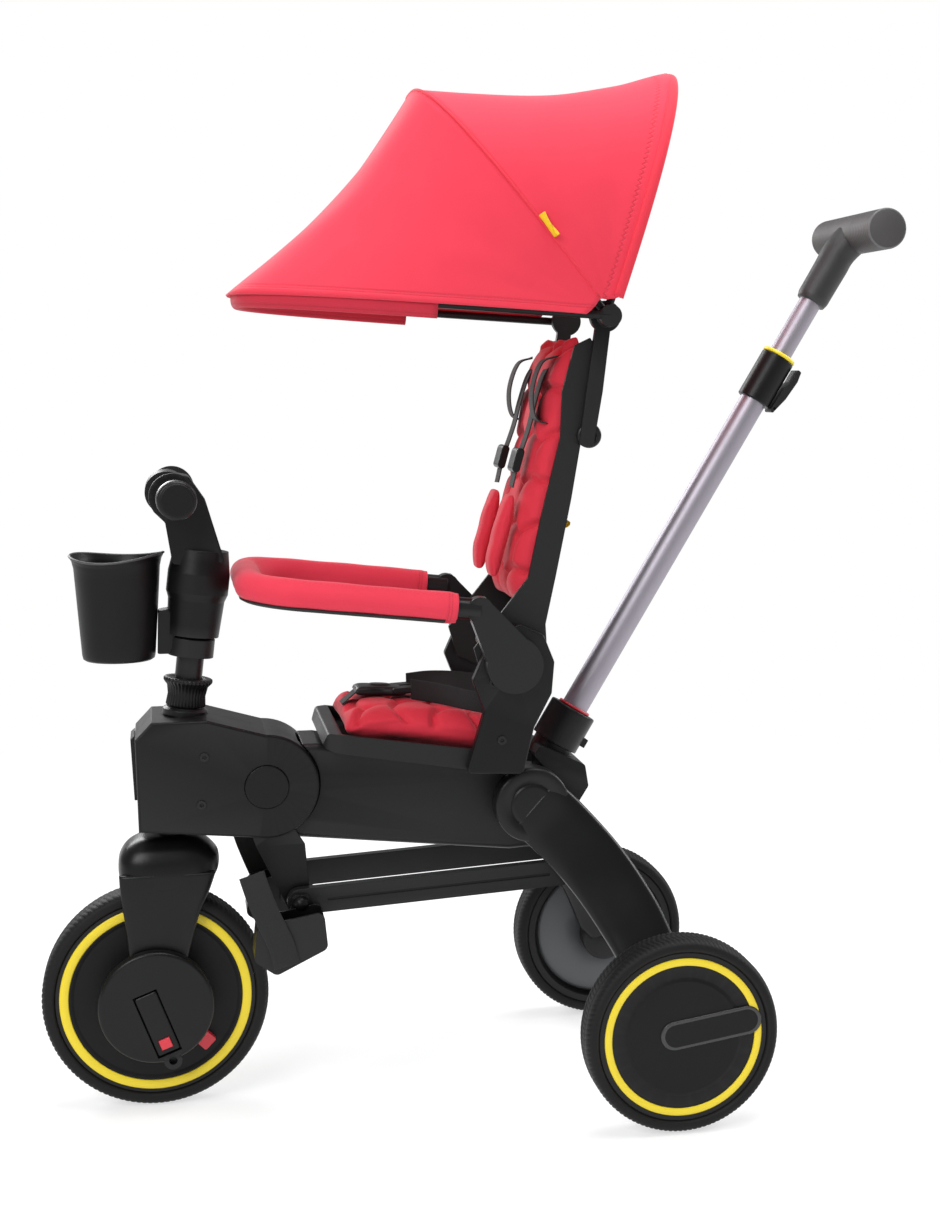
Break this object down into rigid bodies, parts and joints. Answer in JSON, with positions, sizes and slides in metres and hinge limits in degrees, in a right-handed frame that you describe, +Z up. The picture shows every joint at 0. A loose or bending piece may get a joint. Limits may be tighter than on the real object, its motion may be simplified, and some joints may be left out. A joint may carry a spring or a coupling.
{
  "type": "children's tricycle",
  "caption": "Folding children's tricycle with a padded seat, sun canopy, bumper bar, cup holder and telescopic push handle.",
  "frame": {"origin": "centre of the bounding box on the ground", "axes": "+Z up, +X to the rear, +Y to the rider's right"},
  "size_m": [0.9692, 0.444, 1.148],
  "materials": {
    "black_plastic": "satin black moulded plastic",
    "tube_metal": "anodised silver grey",
    "steel": "machined",
    "tyre": "matt foam rubber",
    "red_fabric": "woven coral red",
    "webbing": "black polyester webbing",
    "red_plastic": "satin red",
    "grip_rubber": "soft touch grey"
  },
  "bodies": {
    "frame": {"main_beam": "black_plastic", "rear_block": "black_plastic", "push_socket": "black_plastic", "seat_tray": "black_plastic", "seat_cushion": "red_fabric", "side_brackets": "black_plastic", "pivot_pins": "steel", "frame_screws": "steel", "push_tube_lower": "tube_metal", "push_clamp": "black_plastic", "seat_straps": "webbing", "buckle": "black_plastic"},
    "socket_button": {"socket_button": "black_plastic"},
    "clamp_lever": {"clamp_lever": "black_plastic"},
    "push_handle": {"push_tube_upper": "tube_metal", "push_grip": "grip_rubber"},
    "head": {"head_shell_left": "black_plastic", "head_shell_right": "black_plastic", "head_cover": "black_plastic", "head_bushes": "steel", "head_screws": "steel", "footrest_hanger": "black_plastic"},
    "fold_button_left": {"fold_button_left": "black_plastic"},
    "fold_button_right": {"fold_button_right": "black_plastic"},
    "steering": {"fork": "black_plastic", "steering_column": "steel", "handlebar": "black_plastic", "bar_grips": "grip_rubber", "cup_holder": "black_plastic"},
    "steer_collar": {"steer_collar": "black_plastic"},
    "front_wheel": {"front_wheel": "black_plastic", "front_tyre": "tyre"},
    "clutch_lever": {"clutch_lever": "red_plastic"},
    "cranks": {"crank_axle": "steel", "crank_discs": "black_plastic"},
    "pedal_left": {"pedal_left": "black_plastic"},
    "pedal_right": {"pedal_right": "black_plastic"},
    "pedal_button_left": {"pedal_button_left": "red_plastic"},
    "pedal_button_right": {"pedal_button_right": "red_plastic"},
    "footrest": {"foot_cups": "black_plastic", "foot_straps": "webbing"},
    "link_left": {"link_bar_left": "black_plastic"},
    "link_right": {"link_bar_right": "black_plastic"},
    "leg_left": {"rear_leg_left": "black_plastic"},
    "leg_right": {"rear_leg_right": "black_plastic"},
    "rear_wheel_left": {"rear_wheel_left": "black_plastic", "rear_tyre_left": "tyre"},
    "rear_wheel_right": {"rear_wheel_right": "black_plastic", "rear_tyre_right": "tyre"},
    "backrest": {"back_shell": "black_plastic", "back_cushion": "red_fabric", "shoulder_pads": "red_fabric", "shoulder_straps": "webbing", "canopy_arms": "black_plastic", "canopy_rear_panel": "red_fabric"},
    "canopy_mid": {"canopy_mid_bow": "black_plastic", "canopy_front_panel": "red_fabric"},
    "canopy_front": {"canopy_front_bow": "black_plastic"},
    "bumper": {"bumper_bar": "black_plastic", "bumper_sleeve": "red_fabric"}
  },
  "joints": [
    {"name": "front_fold", "type": "hinge", "parent": "frame", "child": "head", "pos_m": [-0.2346, 0, 0.367], "axis": [0, 1, 0], "range_deg": [-60, 0]},
    {"name": "steer", "type": "hinge", "parent": "head", "child": "steering", "pos_m": [-0.3596, 0, 0.125], "axis": [0.1201, 0, 0.9928], "range_deg": [-35, 35]},
    {"name": "engage_collar", "type": "slide", "parent": "steering", "child": "steer_collar", "axis": [0.1201, 0, 0.9928], "range_m": [0, 0.008]},
    {"name": "front_wheel_spin", "type": "hinge", "parent": "steering", "child": "front_wheel", "pos_m": [-0.3596, 0, 0.125], "axis": [0, 1, 0], "continuous": true},
    {"name": "crank_spin", "type": "hinge", "parent": "steering", "child": "cranks", "pos_m": [-0.3596, 0, 0.125], "axis": [0, 1, 0], "continuous": true},
    {"name": "clutch", "type": "hinge", "parent": "front_wheel", "child": "clutch_lever", "pos_m": [-0.3596, 0, 0.125], "axis": [0, 1, 0], "range_deg": [0, 20]},
    {"name": "pedal_fold_left", "type": "hinge", "parent": "cranks", "child": "pedal_left", "pos_m": [-0.34719, -0.0555, 0.07616], "axis": [0.9354, 0, 0.3535], "range_deg": [0, 90]},
    {"name": "pedal_fold_right", "type": "hinge", "parent": "cranks", "child": "pedal_right", "pos_m": [-0.34719, 0.0555, 0.07616], "axis": [-0.9354, 0, -0.3535], "range_deg": [0, 90]},
    {"name": "pedal_release_left", "type": "slide", "parent": "pedal_left", "child": "pedal_button_left", "axis": [0, 1, 0], "range_m": [0, 0.0015], "stiffness_N_per_m": 300},
    {"name": "pedal_release_right", "type": "slide", "parent": "pedal_right", "child": "pedal_button_right", "axis": [0, -1, 0], "range_m": [0, 0.0015], "stiffness_N_per_m": 300},
    {"name": "fold_press_left", "type": "slide", "parent": "head", "child": "fold_button_left", "axis": [0, 1, 0], "range_m": [0, 0.0025], "stiffness_N_per_m": 400},
    {"name": "fold_press_right", "type": "slide", "parent": "head", "child": "fold_button_right", "axis": [0, -1, 0], "range_m": [0, 0.0025], "stiffness_N_per_m": 400},
    {"name": "footrest_flip", "type": "hinge", "parent": "head", "child": "footrest", "pos_m": [-0.2006, 0, 0.238], "axis": [0, -1, 0], "range_deg": [0, 90]},
    {"name": "link_swing_left", "type": "hinge", "parent": "head", "child": "link_left", "pos_m": [-0.2006, 0, 0.238], "axis": [0, 1, 0], "range_deg": [0, 96]},
    {"name": "link_swing_right", "type": "hinge", "parent": "head", "child": "link_right", "pos_m": [-0.2006, 0, 0.238], "axis": [0, 1, 0], "range_deg": [0, 96]},
    {"name": "leg_fold_left", "type": "hinge", "parent": "frame", "child": "leg_left", "pos_m": [0.0564, 0, 0.341], "axis": [0, 1, 0], "range_deg": [0, 66]},
    {"name": "leg_fold_right", "type": "hinge", "parent": "frame", "child": "leg_right", "pos_m": [0.0564, 0, 0.341], "axis": [0, 1, 0], "range_deg": [0, 66]},
    {"name": "rear_wheel_spin_left", "type": "hinge", "parent": "leg_left", "child": "rear_wheel_left", "pos_m": [0.1974, 0, 0.1075], "axis": [0, 1, 0], "continuous": true},
    {"name": "rear_wheel_spin_right", "type": "hinge", "parent": "leg_right", "child": "rear_wheel_right", "pos_m": [0.1974, 0, 0.1075], "axis": [0, 1, 0], "continuous": true},
    {"name": "back_recline", "type": "hinge", "parent": "frame", "child": "backrest", "pos_m": [0.0304, 0, 0.505], "axis": [0, 1, 0], "range_deg": [0, 12]},
    {"name": "canopy_mid_fold", "type": "hinge", "parent": "backrest", "child": "canopy_mid", "pos_m": [0.1354, 0, 0.881], "axis": [0, 1, 0], "range_deg": [0, 40], "deforming": ["canopy_rear_panel"]},
    {"name": "canopy_front_fold", "type": "hinge", "parent": "canopy_mid", "child": "canopy_front", "pos_m": [0.1354, 0, 0.881], "axis": [0, 1, 0], "range_deg": [0, 36], "deforming": ["canopy_front_panel"]},
    {"name": "bumper_swing", "type": "hinge", "parent": "frame", "child": "bumper", "pos_m": [0.0304, 0, 0.505], "axis": [0, 1, 0], "range_deg": [0, 55]},
    {"name": "push_telescope", "type": "slide", "parent": "frame", "child": "push_handle", "axis": [0.515, 0, 0.8572], "range_m": [-0.07, 0.03]},
    {"name": "clamp_open", "type": "hinge", "parent": "frame", "child": "clamp_lever", "pos_m": [0.35935, 0, 0.77908], "axis": [0, 1, 0], "range_deg": [0, 28]},
    {"name": "socket_release", "type": "slide", "parent": "frame", "child": "socket_button", "axis": [-0.8572, 0, 0.515], "range_m": [0, 0.003], "stiffness_N_per_m": 400}
  ],
  "couplings": [
    {"joint": "leg_fold_left", "follows": "front_fold", "ratio": -1.08},
    {"joint": "leg_fold_right", "follows": "front_fold", "ratio": -1.08},
    {"joint": "link_swing_left", "follows": "front_fold", "ratio": -1.588},
    {"joint": "link_swing_right", "follows": "front_fold", "ratio": -1.588},
    {"joint": "canopy_front_fold", "follows": "canopy_mid_fold", "ratio": 0.9}
  ]
}
